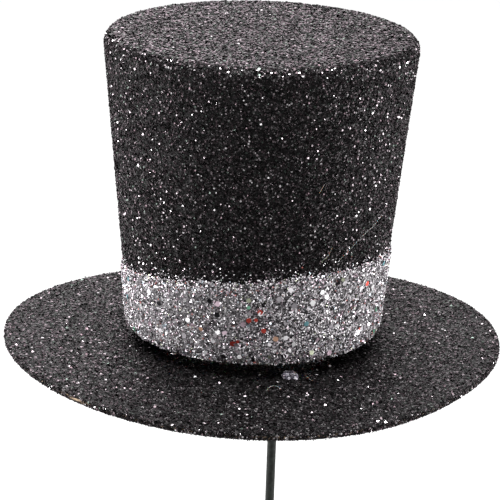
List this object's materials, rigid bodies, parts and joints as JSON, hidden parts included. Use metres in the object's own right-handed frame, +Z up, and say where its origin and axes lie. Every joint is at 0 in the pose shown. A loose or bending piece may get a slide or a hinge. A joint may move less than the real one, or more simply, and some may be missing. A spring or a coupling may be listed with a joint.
{
  "type": "miniature top hat pick",
  "caption": "Miniature black glitter top hat with a silver glitter band, glued onto a wire stem for pushing into a centrepiece.",
  "frame": {"origin": "on the stem's axis where its bare length starts, at the lower end of the glue collar under the brim", "axes": "+Z up along the stem to the crown's top, -Y to the front, +X to the right as seen from the front"},
  "size_m": [0.075, 0.075, 0.1988],
  "materials": {
    "black_glitter": "fine metallised flakes in clear glue",
    "silver_glitter": "coarse metallised flakes in clear glue",
    "kraft_card": "matt, cut edge",
    "white_foam": "expanded beads",
    "hot_glue": "milky, smooth",
    "black_coating": "satin, slightly bumpy",
    "steel_wire": "drawn wire"
  },
  "bodies": {
    "root": {"crown_core": "white_foam", "crown_glitter_coat": "black_glitter", "hat_band": "silver_glitter", "brim_board": "kraft_card", "brim_top_coat": "black_glitter", "brim_under_coat": "black_glitter", "crown_glue_pad": "hot_glue", "glue_lump": "hot_glue", "stem_glue_plug": "hot_glue", "stem_glue_collar": "hot_glue", "stem_wire": "steel_wire", "stem_coating": "black_coating"}
  },
  "joints": []
}
